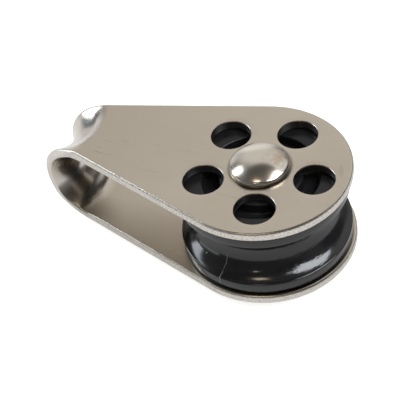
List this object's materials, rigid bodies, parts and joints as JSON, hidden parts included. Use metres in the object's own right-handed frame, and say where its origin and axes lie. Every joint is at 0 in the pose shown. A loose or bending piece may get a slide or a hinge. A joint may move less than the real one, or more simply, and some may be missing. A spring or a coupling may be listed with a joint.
{
  "type": "single sheave block",
  "caption": "Folded stainless strap forming two teardrop cheeks and a dished head eye, with a grooved sheave turning on a riveted axle.",
  "frame": {"origin": "on the axle, half way between the two cheeks, at the centre of the sheave's rope groove", "axes": "+Z along the axle to the factory rivet head, -X to the folded head eye, +X to the round end of the cheeks, Y across"},
  "size_m": [0.0506, 0.0278, 0.0186],
  "materials": {
    "strap_steel": "fine lengthwise satin grain, edges tumbled bright",
    "sheave_plastic": "moulded gloss black, lightly rope-scuffed in the groove",
    "sleeve_steel": "ground",
    "rivet_steel": "polished, faint tea staining"
  },
  "bodies": {
    "block_frame": {"strap": "strap_steel", "axle_rivet": "rivet_steel", "bearing_sleeve": "sleeve_steel"},
    "sheave": {"sheave": "sheave_plastic"}
  },
  "joints": [
    {"name": "sheave_spin", "type": "hinge", "parent": "block_frame", "child": "sheave", "pos_m": [0, 0, 0], "axis": [0, 0, 1], "continuous": true}
  ]
}
